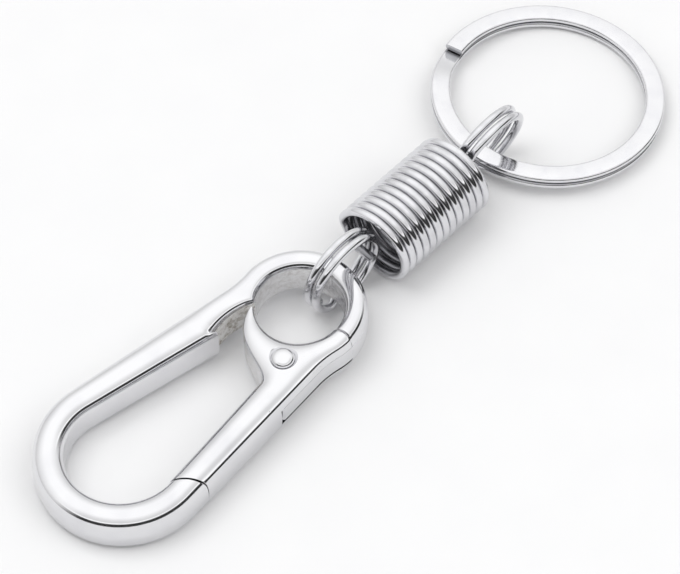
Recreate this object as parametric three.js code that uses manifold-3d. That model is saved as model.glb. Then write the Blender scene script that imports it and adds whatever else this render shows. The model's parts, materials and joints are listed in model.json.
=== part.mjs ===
import * as THREE from 'three';
import Module from 'manifold-3d';
import { mergeVertices } from 'three/addons/utils/BufferGeometryUtils.js';

// Carabiner keychain in millimetres, +Z up. The chain runs along +X: a snap hook, a link ring through
// its eye, a close-wound coil with a crossbar at each end, a second link ring and a flat key ring.
// The hook lies tilted, with its eye lifted by the link ring that passes under it.

const wasm = await Module();
wasm.setup();
const { degToRad, lerp, clamp, smoothstep } = THREE.MathUtils;
const fullTurn = 2 * Math.PI;

// Hook blank: a pear-shaped band, with the loop's centre at its origin and the eye's on its +X
const loopOuterR = 10.9;
const loopBand = 3.8;
const eyeOuterR = 8.35;
const eyeWall = 2.85;
const eyeSpacing = 28.8;
const outerTaper = degToRad(6.7);
const armInnerTaper = degToRad(9.3);
const gateInnerTaper = degToRad(8);
const waistR = 12;
const sideWallAtLoop = 4.1;
const sideWallAtEye = 4.9;
const crownHeight = 0.75;
const crownReach = 2;
const edgeRound = 0.3;

// Gate: an arm from the loop's tip seam to a horn that closes the eye
const pivotToEye = 7.5;
const pivotInset = 3.85;
const gateOpening = degToRad(30);
const tipSeamRun = 2.6;
const seamGap = 0.3;
const hookEndAngle = degToRad(-84);
const neckToPivot = 4.1;
const neckEase = 2.6;
const hornTipAngle = degToRad(138);
const hornRootAngle = degToRad(-118);
const hornTipWidth = 0.6;
const hornEase = 6;
const hornSlope = degToRad(20);
const hornClearance = 0.6;
const reliefEndAngle = degToRad(107);

// Tongue of the frame between the gate's two cheeks, with the rivet through all three
const tongueThickness = 2.4;
const cheekClearance = 0.3;
const bossR = 1.9;
const bossEdgeAngle = degToRad(14);
const stopAngle = degToRad(6);
const tailR = 5.9;
const tailTop = -0.6;
const tailSpread = degToRad(53);
const tongueInset = 0.03;
const shankR = 0.9;
const shankClearance = 0.25;
const headR = 1.45;
const headRim = 0.35;
const headSeatDepth = 0.95;
const headSeatGap = 0.3;
const headRise = 0.35;

// Torsion spring round the rivet, in a seat cut into the upper half of the tongue
const springWire = 0.3;
const springCoilR = 1.45;
const springPitch = 0.47;
const springTurns = 2;
const springFrameLeg = 4.2;
const springGateLeg = 2.6;
const springExit = degToRad(150);
const springSeatFloor = -0.4;
const springClearance = 0.28;

// Link rings: two turns of round wire side by side
const linkR = 5.35;
const linkWire = 1.1;
const linkTurnGap = 0.42;
const linkJogHalf = degToRad(20);
const linkJogAngle = degToRad(-100);
const linkEndGap = degToRad(4);
const lowerLinkShift = 0.6;
const lowerLinkLean = degToRad(4);
const upperLinkLean = degToRad(12);

// Coil spring: wire bent across its bore at each end as a crossbar
const coilR = 5.2;
const coilWire = 0.72;
const coilTurnGap = 0.5;
const coilHalfTurns = 12;
const coilBendR = 1.3;
const crossbarStandOff = 2;
const crossbarFlat = 0.6;
const crossbarEndGap = 1.6;
const crossbarSlack = 0.45;
const coilSide = 0;

// Key ring: a flat band wound twice round
const keyRingOuterR = 15;
const keyRingBand = 2.5;
const keyLayer = 0.75;
const keyLayerGap = 0.45;
const keyJogHalf = degToRad(13);
const keyJogAngle = degToRad(116);
const keyEndGap = degToRad(1.5);
const keyRingShift = 0.05;
const keyRingSide = 1.5;
const keyRingLift = 0.65;

// The lie of the hook on the table
const eyeLift = 0.25;
const hookYaw = degToRad(-3);

// Sizes that follow from the ones above
const loopInnerR = loopOuterR - loopBand;
const eyeInnerR = eyeOuterR - eyeWall;
const eyeMidR = eyeOuterR - eyeWall / 2;
const loopMidR = loopOuterR - loopBand / 2;
const loopCentre = new THREE.Vector2(0, 0);
const eyeCentre = new THREE.Vector2(eyeSpacing, 0);
const hookLength = loopOuterR + eyeSpacing + eyeOuterR;
const tongueHalf = tongueThickness / 2;
const slotHalf = tongueHalf + cheekClearance;
const holeR = shankR + shankClearance;
const linkTurnSpacing = linkWire + linkTurnGap;
const coilPitch = coilWire + coilTurnGap;
const keyLayerSpacing = keyLayer + keyLayerGap;

const polar = (centre, r, angle) =>
  new THREE.Vector2(centre.x + r * Math.cos(angle), centre.y + r * Math.sin(angle));
const mirrored = (p) => new THREE.Vector2(p.x, -p.y);
const steps = (count, place) => Array.from({ length: count + 1 }, (_, i) => place(i / count));
const arc = (centre, r, from, to, count) => steps(count, (t) => polar(centre, r, lerp(from, to, t)));
const line = (from, to, count) => steps(count, (t) => from.clone().lerp(to, t));

// One side of the outer edge: loop circle, straight taper, concave waist and eye circle, all tangent
function outerEdge(inset) {
  const loopR = loopOuterR - inset;
  const eyeR = eyeOuterR - inset;
  const blendR = waistR + inset;
  const normal = new THREE.Vector2(Math.sin(outerTaper), Math.cos(outerTaper));
  const along = new THREE.Vector2(Math.cos(outerTaper), -Math.sin(outerTaper));
  const rise = loopR + blendR - eyeCentre.dot(normal);
  const run = eyeCentre.dot(along) - Math.sqrt((eyeR + blendR) ** 2 - rise ** 2);
  const loopTangent = normal.clone().multiplyScalar(loopR);
  const waistTangent = loopTangent.clone().addScaledVector(along, run);
  const blendCentre = waistTangent.clone().addScaledVector(normal, blendR);
  const eyeAngle = Math.atan2(blendCentre.y - eyeCentre.y, blendCentre.x - eyeCentre.x);
  const waist = (count) => arc(blendCentre, blendR, eyeAngle - Math.PI, -Math.PI / 2 - outerTaper, count);
  return { loopR, eyeR, along, loopTangent, waistTangent, eyeAngle, waist };
}

// Straight inner edge tangent to the loop's inner circle, on the +Y side
function innerTaper(angle) {
  const start = polar(loopCentre, loopInnerR, Math.PI / 2 - angle);
  const along = new THREE.Vector2(Math.cos(angle), -Math.sin(angle));
  return { start, along };
}

function circlesMeet(a, aR, b, bR) {
  const apart = b.clone().sub(a);
  const reach = (apart.lengthSq() + aR ** 2 - bR ** 2) / (2 * apart.length());
  const aside = Math.sqrt(aR ** 2 - reach ** 2);
  const unit = apart.normalize();
  return a.clone().addScaledVector(unit, reach).add(new THREE.Vector2(-unit.y, unit.x).multiplyScalar(aside));
}

const outer = outerEdge(0);
const armInner = innerTaper(armInnerTaper);
const gateInner = innerTaper(gateInnerTaper);
const outerAlong = mirrored(outer.along);
const outerStart = mirrored(outer.loopTangent);
const inward = new THREE.Vector2(-outerAlong.y, outerAlong.x);
const pivotRun = eyeCentre.clone().sub(outerStart).dot(outerAlong) - pivotToEye;
const pivot = outerStart.clone().addScaledVector(outerAlong, pivotRun).addScaledVector(inward, pivotInset);
const angleAbout = (centre, p) => Math.atan2(p.y - centre.y, p.x - centre.x);

// Horn, and the relief in the opposite arm that the horn swings past
const hornTip = polar(eyeCentre, eyeInnerR + hornTipWidth, hornTipAngle);
const reliefR = hornTip.distanceTo(pivot) + hornClearance;
const cusp = circlesMeet(pivot, reliefR, eyeCentre, eyeInnerR);
const reliefEnd = polar(pivot, reliefR, reliefEndAngle);
const stepRay = new THREE.Vector2(Math.cos(reliefEndAngle), Math.sin(reliefEndAngle));
const stepRun = reliefEnd.clone().sub(armInner.start).cross(stepRay) / armInner.along.cross(stepRay);
const stepFoot = armInner.start.clone().addScaledVector(armInner.along, stepRun);

// Gate edge on the loop's side: straight along the arm, then an S-curve up to the horn
const gateArmStart = mirrored(gateInner.start);
const gateAlong = mirrored(gateInner.along);
const gateArmLength = pivot.clone().sub(gateArmStart).dot(gateAlong) - neckToPivot;
const neck = gateArmStart.clone().addScaledVector(gateAlong, gateArmLength);
const hornHandle = new THREE.Vector2(Math.cos(hornSlope), Math.sin(hornSlope)).multiplyScalar(hornEase);
const neckCurve = new THREE.CubicBezierCurve(
  neck,
  neck.clone().addScaledVector(gateAlong, neckEase),
  hornTip.clone().sub(hornHandle),
  hornTip,
);
const neckPoints = (from, to, count) => steps(count, (t) => neckCurve.getPoint(lerp(from, to, t)));

// Closed outer outline of the hook, pulled in by inset
function hookOutline(inset) {
  const edge = outerEdge(inset);
  const half = [
    ...arc(eyeCentre, edge.eyeR, 0, edge.eyeAngle, 18),
    ...edge.waist(6),
    ...arc(loopCentre, edge.loopR, Math.PI / 2 - outerTaper, Math.PI, 18),
  ];
  return [...half, ...half.slice(1, -1).reverse().map(mirrored)];
}

const loopInside = [
  ...arc(pivot, reliefR, angleAbout(pivot, cusp), reliefEndAngle, 8),
  stepFoot,
  ...arc(loopCentre, loopInnerR, Math.PI / 2 - armInnerTaper, fullTurn - Math.PI / 2 + gateInnerTaper, 30),
  ...neckPoints(0, 1, 24),
];
const freeEdges = [
  [...hookOutline(0), hookOutline(0)[0]],
  loopInside,
  arc(eyeCentre, eyeInnerR, 0, fullTurn, 48),
];

function edgeDistance(p) {
  let least = Infinity;
  const nearest = new THREE.Vector3();
  const at = new THREE.Vector3(p.x, p.y, 0);
  for (const edge of freeEdges) {
    for (let i = 0; i + 1 < edge.length; i += 1) {
      const from = new THREE.Vector3(edge[i].x, edge[i].y, 0);
      const to = new THREE.Vector3(edge[i + 1].x, edge[i + 1].y, 0);
      new THREE.Line3(from, to).closestPointToPoint(at, true, nearest);
      least = Math.min(least, nearest.distanceTo(at));
    }
  }
  return least;
}

// Half the hook's height at a point: an upright side wall that grows towards the eye, a rounded edge
// and a crown
function halfHeight(p) {
  const wall = lerp(sideWallAtLoop, sideWallAtEye, clamp((p.x + loopOuterR) / hookLength, 0, 1));
  const inside = edgeDistance(p);
  const crown = crownHeight * (1 - (1 - clamp(inside / crownReach, 0, 1)) ** 2);
  const rounded = edgeRound * (1 - Math.sqrt(1 - (1 - clamp(inside / edgeRound, 0, 1)) ** 2));
  return wall / 2 + crown - rounded;
}

// Closed solid through rings of equal, even point count
function loft(rings) {
  const size = rings[0].length;
  const index = [];
  for (let r = 0; r + 1 < rings.length; r += 1) {
    for (let k = 0; k < size; k += 1) {
      const a = r * size + k;
      const b = r * size + ((k + 1) % size);
      index.push(a, b, b + size, a, b + size, a + size);
    }
  }
  const end = (rings.length - 1) * size;
  for (let k = 0; k + 1 < size / 2; k += 1) {
    const far = size - 1 - k;
    index.push(k + 1, k, far, k + 1, far, far - 1);
    index.push(end + k, end + k + 1, end + far, end + k + 1, end + far - 1, end + far);
  }
  const points = rings.flat();
  let volume = 0;
  for (let i = 0; i < index.length; i += 3) {
    const [a, b, c] = [points[index[i]], points[index[i + 1]], points[index[i + 2]]];
    volume += a.dot(new THREE.Vector3().crossVectors(b, c));
  }
  const geometry = new THREE.BufferGeometry().setFromPoints(points);
  geometry.setIndex(volume > 0 ? index : index.reverse());
  return geometry;
}

// Band between two matched edges, crowned above and below
const bandShares = [0, 0.025, 0.09, 0.25, 0.5, 0.75, 0.91, 0.975, 1];
function crownedBand(inner, outerSide) {
  const rings = inner.map((from, i) => {
    const across = bandShares.map((share) => from.clone().lerp(outerSide[i], share));
    const top = across.map((p) => new THREE.Vector3(p.x, p.y, halfHeight(p)));
    const bottom = top.map((p) => new THREE.Vector3(p.x, p.y, -p.z)).reverse();
    return [...top, ...bottom];
  });
  return loft(rings);
}

const joined = (...runs) => runs.reduce((all, run) => [...all, ...(all.length ? run.slice(1) : run)], []);

function solid(geometry) {
  const bare = geometry.clone();
  bare.deleteAttribute('normal');
  bare.deleteAttribute('uv');
  const merged = mergeVertices(bare, 1e-5);
  const vertProperties = new Float32Array(merged.attributes.position.array);
  const triVerts = new Uint32Array(merged.index.array);
  return new wasm.Manifold(new wasm.Mesh({ numProp: 3, vertProperties, triVerts }));
}

function geometryOf(manifold) {
  const mesh = manifold.getMesh();
  const geometry = new THREE.BufferGeometry();
  geometry.setAttribute('position', new THREE.BufferAttribute(mesh.vertProperties, 3));
  geometry.setIndex(new THREE.BufferAttribute(mesh.triVerts, 1));
  return geometry;
}

function plate(points, low, high) {
  const settings = { depth: high - low, bevelEnabled: false };
  const geometry = new THREE.ExtrudeGeometry(new THREE.Shape(points), settings);
  return geometry.translate(0, 0, low);
}

function disc(centre, r, low, high, sides) {
  return plate(arc(centre, r, 0, fullTurn, sides).slice(0, -1), low, high);
}

// Points given about the pivot, with +x along the hook's tapered side
const besidePivot = (p) => p.clone().rotateAround(loopCentre, outerTaper).add(pivot);
const nearPivot = (x, y) => besidePivot(new THREE.Vector2(x, y));

// Plan of the tongue, or with a clearance of the slot that holds it: a tail that ends in an arc
// about the pivot, a round boss, and a link to the hook's end that runs past the outer edge
function tonguePlan(clearance, edgeAngle) {
  const boss = bossR + clearance;
  const tail = tailR + clearance;
  const top = tailTop + clearance;
  const past = -2 * tailR;
  const tailLow = tailSpread - Math.PI;
  const local = [
    ...arc(loopCentre, tail, tailLow, -Math.PI - Math.asin(top / tail), 10),
    ...arc(loopCentre, boss, Math.PI - Math.asin(top / boss), edgeAngle, 14),
    polar(loopCentre, eyeSpacing - pivot.x - eyeWall, edgeAngle),
    new THREE.Vector2(eyeSpacing - pivot.x, 0),
    new THREE.Vector2(eyeSpacing - pivot.x + eyeWall, 0),
    new THREE.Vector2(eyeSpacing - pivot.x + eyeWall, past),
    new THREE.Vector2(tail * Math.cos(tailLow), past),
  ];
  return local.map(besidePivot);
}

const pivotTop = halfHeight(pivot);
const headSeat = pivotTop - headSeatDepth;
const past = sideWallAtEye + crownHeight;
const springBase = springSeatFloor + springClearance + springWire / 2;
const springTop = springBase + springPitch * (springTurns + (fullTurn - Math.PI / 2 - springExit) / fullTurn);

function makeHookFrame() {
  const tipOuter = outerStart.clone().addScaledVector(outerAlong, tipSeamRun);
  const tipLead = degToRad(6);
  const tipAngle = fullTurn - Math.PI / 2 + gateInnerTaper;
  const abreast = outer.loopTangent.clone().addScaledVector(outer.along, stepRun);
  const justPast = outer.loopTangent.clone().addScaledVector(outer.along, stepRun - hornClearance);
  const reliefStart = angleAbout(pivot, cusp);
  const reliefMiddle = lerp(reliefStart, reliefEndAngle, 0.4);
  const justInside = armInner.start.clone().addScaledVector(armInner.along, stepRun - hornClearance / 2);
  const outerSide = joined(
    arc(eyeCentre, eyeOuterR, hookEndAngle, outer.eyeAngle, 26),
    outer.waist(4),
    line(outer.waistTangent, abreast, 4),
    line(abreast, abreast.clone().lerp(justPast, 0.5), 1),
    line(abreast.clone().lerp(justPast, 0.5), justPast, 1),
    line(justPast, outer.loopTangent, 5),
    arc(loopCentre, loopOuterR, Math.PI / 2 - outerTaper, fullTurn - Math.PI / 2 + outerTaper, 28),
    line(outerStart, tipOuter, 2),
  );
  const innerSide = joined(
    arc(eyeCentre, eyeInnerR, hookEndAngle, angleAbout(eyeCentre, cusp), 26),
    arc(pivot, reliefR, reliefStart, reliefMiddle, 4),
    arc(pivot, reliefR, reliefMiddle, reliefEndAngle, 4),
    [reliefEnd, stepFoot],
    [stepFoot, justInside],
    line(justInside, armInner.start, 5),
    arc(loopCentre, loopInnerR, Math.PI / 2 - armInnerTaper, tipAngle - tipLead, 28),
    arc(loopCentre, loopInnerR, tipAngle - tipLead, tipAngle, 2),
  );
  const band = solid(crownedBand(innerSide, outerSide));
  const plan = tonguePlan(0, bossEdgeAngle);
  const rootTrim = solid(disc(eyeCentre, eyeInnerR + tongueInset, -past, past, 96));
  const seatGroove = [
    nearPivot(-springCoilR, -springCoilR - 2 * springClearance),
    nearPivot(springFrameLeg + springClearance, -springCoilR - 2 * springClearance),
    nearPivot(springFrameLeg + springClearance, -springCoilR + 2 * springClearance),
    nearPivot(-springCoilR, -springCoilR + 2 * springClearance),
  ];
  const seatR = springCoilR + springWire + 2 * springClearance;
  const tongue = solid(plate(plan, -tongueHalf, tongueHalf))
    .intersect(solid(plate(hookOutline(tongueInset), -past, past)))
    .subtract(rootTrim)
    .subtract(solid(disc(pivot, seatR, springSeatFloor, past, 32)))
    .subtract(solid(plate(seatGroove, springSeatFloor, past)))
    .subtract(solid(disc(pivot, holeR, -past, past, 24)));
  return geometryOf(band.add(tongue));
}

// Gate: one band from the tip seam to the hook's end, and the horn as a second band from the same root line
function makeGate() {
  const seamTurn = seamGap / eyeMidR;
  const seamAngle = hookEndAngle - seamTurn;
  const tipSlip = seamGap * Math.SQRT2;
  const armStart = gateArmStart.clone().addScaledVector(gateAlong, tipSlip);
  const tipOuter = outerStart.clone().addScaledVector(outerAlong, tipSeamRun + tipSlip);
  const abreast = outerStart.clone().addScaledVector(outerAlong, gateArmLength);
  const waist = outer.waist(5).reverse().map(mirrored);
  const hornRoot = polar(eyeCentre, eyeInnerR, hornRootAngle);
  const waistStart = mirrored(outer.waistTangent);
  const innerSide = joined(
    line(armStart, neck, 7),
    bandShares.map((share) => neck.clone().lerp(hornRoot, share)),
    arc(eyeCentre, eyeInnerR, hornRootAngle, seamAngle, 8),
  );
  const outerSide = joined(
    line(tipOuter, abreast, 7),
    bandShares.map((share) => abreast.clone().lerp(waistStart, share)),
    waist,
    arc(eyeCentre, eyeOuterR, -outer.eyeAngle, seamAngle, 3),
  );
  const horn = crownedBand(
    neckPoints(0, 1, 18),
    arc(eyeCentre, eyeInnerR, hornRootAngle, hornTipAngle - fullTurn, 18),
  );
  const webAngle = bossEdgeAngle + gateOpening + stopAngle;
  const slot = solid(plate(tonguePlan(cheekClearance, webAngle), -slotHalf, slotHalf));
  const legTip = new THREE.Vector2(Math.sin(springExit), -Math.cos(springExit))
    .multiplyScalar(springGateLeg)
    .add(polar(loopCentre, springCoilR, springExit));
  const legSide = springWire / 2 + springClearance;
  const legSlot = [
    nearPivot(-springCoilR / 2 - legSide, 0),
    nearPivot(legTip.x + 2 * legSide, 0),
    nearPivot(legTip.x + 2 * legSide, legTip.y + legSide),
    nearPivot(-springCoilR / 2 - legSide, legTip.y + legSide),
  ];
  const body = solid(crownedBand(innerSide, outerSide))
    .add(solid(horn))
    .subtract(slot)
    .subtract(solid(plate(legSlot, springTop - legSide, slotHalf)))
    .subtract(solid(disc(pivot, holeR, -past, past, 24)))
    .subtract(solid(disc(pivot, headR + headRim, headSeat, past, 32)))
    .subtract(solid(disc(pivot, headR + headRim, -past, -headSeat, 32)));
  return geometryOf(body);
}

// Rivet with a domed head sunk in each cheek
function makeRivet() {
  const under = headSeat + headSeatGap;
  const crest = pivotTop + headRise;
  const shoulder = pivotTop - headSeatGap / 2;
  const half = [
    new THREE.Vector2(shankR, 0),
    new THREE.Vector2(shankR, under),
    new THREE.Vector2(headR, under),
    ...steps(4, (t) => {
      const turn = (t * Math.PI) / 2;
      return new THREE.Vector2(headR * Math.cos(turn), lerp(shoulder, crest, Math.sin(turn)));
    }),
  ];
  half[half.length - 1].x = 0;
  const profile = [...half.slice(1).reverse().map(mirrored), ...half.slice(1)];
  return new THREE.LatheGeometry(profile, 24).rotateX(Math.PI / 2).translate(pivot.x, pivot.y, 0);
}

// Round wire along a path, with square ends: the section is carried without twist
function wire(path, diameter, sides) {
  let side = null;
  const rings = path.map((p, i) => {
    const before = path[Math.max(i - 1, 0)];
    const after = path[Math.min(i + 1, path.length - 1)];
    const along = after.clone().sub(before).normalize();
    const start = side ?? new THREE.Vector3(along.z, along.x, along.y);
    side = start.clone().addScaledVector(along, -start.dot(along)).normalize();
    const up = new THREE.Vector3().crossVectors(along, side);
    return Array.from({ length: sides }, (_, k) => {
      const turn = (fullTurn * k) / sides;
      const out = side.clone().multiplyScalar(Math.cos(turn)).addScaledVector(up, Math.sin(turn));
      return p.clone().addScaledVector(out, diameter / 2);
    });
  });
  return loft(rings);
}

// Least clear gap of a wound path to itself, between points that lie apart along it
function selfGap(path, thickness) {
  const run = [0];
  for (let i = 1; i < path.length; i += 1) {
    run.push(run[i - 1] + path[i].distanceTo(path[i - 1]));
  }
  let least = Infinity;
  for (let i = 0; i < path.length; i += 1) {
    for (let j = i + 1; j < path.length; j += 1) {
      if (run[j] - run[i] > 4 * thickness) {
        least = Math.min(least, path[i].distanceTo(path[j]) - thickness);
      }
    }
  }
  return least;
}

function report(name, gap) {
  console.log(`${name}: least gap to itself ${gap.toFixed(2)} mm`);
}

// Frame leg along the tongue, clockwise turns round the rivet, and a leg up into the gate's web
function makeGateSpring() {
  const sweep = fullTurn - Math.PI / 2 - springExit + springTurns * fullTurn;
  const coil = steps(26, (t) => {
    const p = polar(loopCentre, springCoilR, -Math.PI / 2 - t * sweep);
    return new THREE.Vector3(p.x, p.y, lerp(springBase, springTop, t));
  });
  const exit = new THREE.Vector2(Math.sin(springExit), -Math.cos(springExit)).multiplyScalar(springGateLeg);
  const last = coil[coil.length - 1];
  const path = [
    new THREE.Vector3(springFrameLeg, -springCoilR, springBase),
    ...coil,
    new THREE.Vector3(last.x + exit.x, last.y + exit.y, last.z),
  ];
  return wire(path, springWire, 6).rotateZ(outerTaper).translate(pivot.x, pivot.y, 0);
}

// Place across the turns of a ring wound twice: the wire crosses over once, at the ring's split
function crossOver(turn, jogAngle, jogHalf, spacing) {
  const jog = jogAngle + fullTurn;
  return spacing * (smoothstep(turn, jog - jogHalf, jog + jogHalf) - 0.5);
}

function makeLinkRing(name) {
  const from = linkJogAngle + linkJogHalf + linkEndGap;
  const to = linkJogAngle + 2 * fullTurn - linkJogHalf - linkEndGap;
  const path = steps(60, (t) => {
    const turn = lerp(from, to, t);
    const across = crossOver(turn, linkJogAngle, linkJogHalf, linkTurnSpacing);
    return new THREE.Vector3(linkR * Math.cos(turn), across, linkR * Math.sin(turn));
  });
  report(name, selfGap(path, linkWire));
  return wire(path, linkWire, 8);
}

// Half of the coil's wire: the crossbar, which stands off the end turn and stops short of the far
// side, its bend out to the turns, and half of the turns. Turned half round about the Y axis, the
// same half makes the other end.
const coilBendAngle = Math.asin(coilBendR / (coilR - coilBendR));
const coilMiddle = coilHalfTurns * Math.PI;
const coilLead = (angle) => (coilPitch * (angle - coilMiddle)) / fullTurn;
const coilStart = coilLead(coilBendAngle);
const crossbarAt = coilStart - crossbarStandOff;

function makeCoilSpring() {
  const bendCentre = polar(loopCentre, coilR - coilBendR, coilBendAngle);
  const freeEnd = new THREE.Vector2(coilWire + crossbarEndGap - coilR, 0);
  const bar = line(freeEnd, new THREE.Vector2(bendCentre.x, 0), 8);
  const bend = arc(bendCentre, coilBendR, -Math.PI / 2, coilBendAngle, 6);
  const crossing = joined(bar, bend);
  const reach = crossing[crossing.length - 1].x;
  const flat = crossing.map((p) => {
    const settled = smoothstep(p.x, crossbarFlat, reach);
    return new THREE.Vector3(lerp(crossbarAt, coilStart, settled), p.x, p.y);
  });
  const turnSteps = Math.round(((coilMiddle - coilBendAngle) / fullTurn) * 14);
  const turns = steps(turnSteps, (t) => {
    const angle = lerp(coilBendAngle, coilMiddle, t);
    const p = polar(loopCentre, coilR, angle);
    return new THREE.Vector3(coilLead(angle), p.x, p.y);
  });
  const half = joined(flat, turns);
  const otherHalf = half.map((p) => new THREE.Vector3(-p.x, p.y, -p.z)).reverse();
  const path = joined(half, otherHalf);
  report('coil_spring', selfGap(path, coilWire));
  return wire(path, coilWire, 6);
}

// Flat band wound twice, one layer over the other
function makeKeyRing() {
  const from = keyJogAngle + keyJogHalf + keyEndGap;
  const to = keyJogAngle + 2 * fullTurn - keyJogHalf - keyEndGap;
  const keyInnerR = keyRingOuterR - keyRingBand;
  const count = 96;
  const rings = steps(count, (t) => {
    const turn = lerp(from, to, t);
    const level = crossOver(turn, keyJogAngle, keyJogHalf, keyLayerSpacing);
    const corner = (r, side) => {
      const p = polar(loopCentre, r, turn);
      return new THREE.Vector3(p.x, p.y, level + side * (keyLayer / 2));
    };
    return [corner(keyInnerR, 1), corner(keyRingOuterR, 1), corner(keyRingOuterR, -1), corner(keyInnerR, -1)];
  });
  const middle = rings.map((ring) => ring[0].clone().add(ring[2]).multiplyScalar(0.5));
  report('key_ring', selfGap(middle, keyLayer));
  return loft(rings);
}

function piece(name, geometry, color, roughness) {
  const material = new THREE.MeshStandardMaterial({ color, roughness, metalness: 1 });
  const mesh = new THREE.Mesh(geometry, material);
  mesh.name = name;
  return mesh;
}

// Drops a group until its lowest point stands on the table
function standOnTable(group) {
  group.updateMatrixWorld(true);
  group.position.z -= new THREE.Box3().setFromObject(group, true).min.z;
}

const hook = new THREE.Group();
hook.add(piece('hook_frame', makeHookFrame(), 0xd9dadc, 0.14));
hook.add(piece('gate', makeGate(), 0xdcdddf, 0.13));
hook.add(piece('pivot_rivet', makeRivet(), 0xcfd0d2, 0.18));
hook.add(piece('gate_spring', makeGateSpring(), 0xa9abae, 0.3));
const eyeRise = halfHeight(polar(eyeCentre, eyeMidR, 0)) - halfHeight(polar(loopCentre, loopMidR, Math.PI));
const hookTilt = Math.asin((linkWire + eyeLift + eyeRise) / (eyeSpacing + eyeMidR + loopMidR));
hook.rotation.set(0, -hookTilt, hookYaw, 'ZYX');
const eyeOffset = new THREE.Vector3(eyeSpacing, 0, 0).applyEuler(hook.rotation);
hook.position.set(-eyeOffset.x, -eyeOffset.y, 0);
standOnTable(hook);

// Each link follows from the one before: the eye's wall, ring, crossbar, coil, crossbar, ring, band
const linkReach = linkR - linkWire / 2 - coilWire / 2 - crossbarSlack;
const lowerLinkX = eyeMidR + lowerLinkShift;
const coilX = lowerLinkX + linkReach - crossbarAt;
const upperLinkX = coilX - crossbarAt + linkReach;
const keyRingX = upperLinkX + keyRingShift + keyRingOuterR - keyRingBand / 2;

function placed(mesh, x, y, lean) {
  const group = new THREE.Group();
  group.add(mesh);
  group.rotation.x = lean;
  group.position.set(x, y, 0);
  standOnTable(group);
  return group;
}

const lowerLink = placed(piece('lower_link_ring', makeLinkRing('lower_link_ring'), 0xc9cbce, 0.16),
  lowerLinkX, 0, lowerLinkLean);
const coil = placed(piece('coil_spring', makeCoilSpring(), 0xc4c6c9, 0.18), coilX, coilSide, 0);
const upperLink = placed(piece('upper_link_ring', makeLinkRing('upper_link_ring'), 0xc9cbce, 0.16),
  upperLinkX, coilSide, upperLinkLean);
const keyRing = new THREE.Group();
keyRing.add(piece('key_ring', makeKeyRing(), 0xd4d6d8, 0.12));
keyRing.rotation.y = Math.asin((linkWire + keyRingLift) / (2 * keyRingOuterR - keyRingBand));
keyRing.position.set(keyRingX, keyRingSide, 0);
standOnTable(keyRing);

const keychain = new THREE.Group();
keychain.add(hook, lowerLink, coil, upperLink, keyRing);
keychain.updateMatrixWorld(true);
const bounds = new THREE.Box3().setFromObject(keychain, true);
const middle = bounds.getCenter(new THREE.Vector3());
keychain.position.set(-middle.x, -middle.y, -bounds.min.z);
keychain.updateMatrixWorld(true);

// Places of the joints and faces, in the finished frame
const place = (name, group, x, y, z) => {
  const p = group.localToWorld(new THREE.Vector3(x, y, z));
  console.log(`${name}: ${p.toArray().map((v) => v.toFixed(3)).join(' ')}`);
};
const facing = (name, group, x, y, z) => {
  const n = new THREE.Vector3(x, y, z).transformDirection(group.matrixWorld);
  console.log(`${name}: ${n.toArray().map((v) => v.toFixed(6)).join(' ')}`);
};
place('loop centre', hook, 0, 0, 0);
place('gate pivot', hook, pivot.x, pivot.y, 0);
place('eye centre', hook, eyeSpacing, 0, 0);
facing('hook normal', hook, 0, 0, 1);
place('lower crossbar', coil, crossbarAt, 0, 0);
place('upper crossbar', coil, -crossbarAt, 0, 0);
place('upper link centre', upperLink, 0, 0, 0);
place('key ring centre', keyRing, 0, 0, 0);
place('key ring band', keyRing, keyRingBand / 2 - keyRingOuterR, 0, 0);
facing('key ring normal', keyRing, 0, 0, 1);
const faceAt = polar(loopCentre, keyRingOuterR - keyRingBand / 2, keyJogAngle + Math.PI);
place('key ring face', keyRing, faceAt.x, faceAt.y, (keyLayerSpacing + keyLayer) / 2);
const armMiddle = armInner.start.clone().addScaledVector(armInner.along, stepRun / 2);
place('arm inner wall', hook, armMiddle.x, armMiddle.y, 0);
facing('arm inner normal', hook, -Math.sin(armInnerTaper), -Math.cos(armInnerTaper), 0);

export default keychain;
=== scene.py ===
import json

import bmesh
import bpy
import numpy as np
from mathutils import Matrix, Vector


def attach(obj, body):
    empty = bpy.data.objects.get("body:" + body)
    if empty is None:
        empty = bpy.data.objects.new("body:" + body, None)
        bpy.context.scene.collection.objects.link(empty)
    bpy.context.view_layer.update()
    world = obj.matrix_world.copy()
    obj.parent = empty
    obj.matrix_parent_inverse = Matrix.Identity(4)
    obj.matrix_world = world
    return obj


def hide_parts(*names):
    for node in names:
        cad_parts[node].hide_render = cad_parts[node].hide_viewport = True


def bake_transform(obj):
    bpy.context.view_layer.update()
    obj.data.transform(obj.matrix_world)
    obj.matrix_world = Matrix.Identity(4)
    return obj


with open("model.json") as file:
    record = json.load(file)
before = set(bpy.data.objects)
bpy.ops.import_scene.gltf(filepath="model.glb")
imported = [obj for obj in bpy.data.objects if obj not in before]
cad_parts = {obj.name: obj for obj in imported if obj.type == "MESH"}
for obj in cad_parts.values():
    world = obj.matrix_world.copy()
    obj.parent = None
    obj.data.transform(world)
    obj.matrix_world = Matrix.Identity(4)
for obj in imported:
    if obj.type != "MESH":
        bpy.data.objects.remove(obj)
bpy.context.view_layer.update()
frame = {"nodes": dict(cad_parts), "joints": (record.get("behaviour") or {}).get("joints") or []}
joints = {joint["name"]: joint for joint in frame["joints"]}
mm = 0.001
fullTurn = 2 * np.pi
weldReach = 0.0003  # millimetres
leastDistance = 1e-6  # millimetres, so that a point on an edge can be divided by
print("frame loaded:", ", ".join(sorted(frame["nodes"])))


def unit(vectors):
    return vectors / np.linalg.norm(vectors, axis=-1, keepdims=True)


# Smooth step from 0 at low to 1 at high: 3t squared less 2t cubed
def ease(x, low, high):
    t = np.clip((x - low) / (high - low), 0, 1)
    return t * t * (3 - 2 * t)


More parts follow.
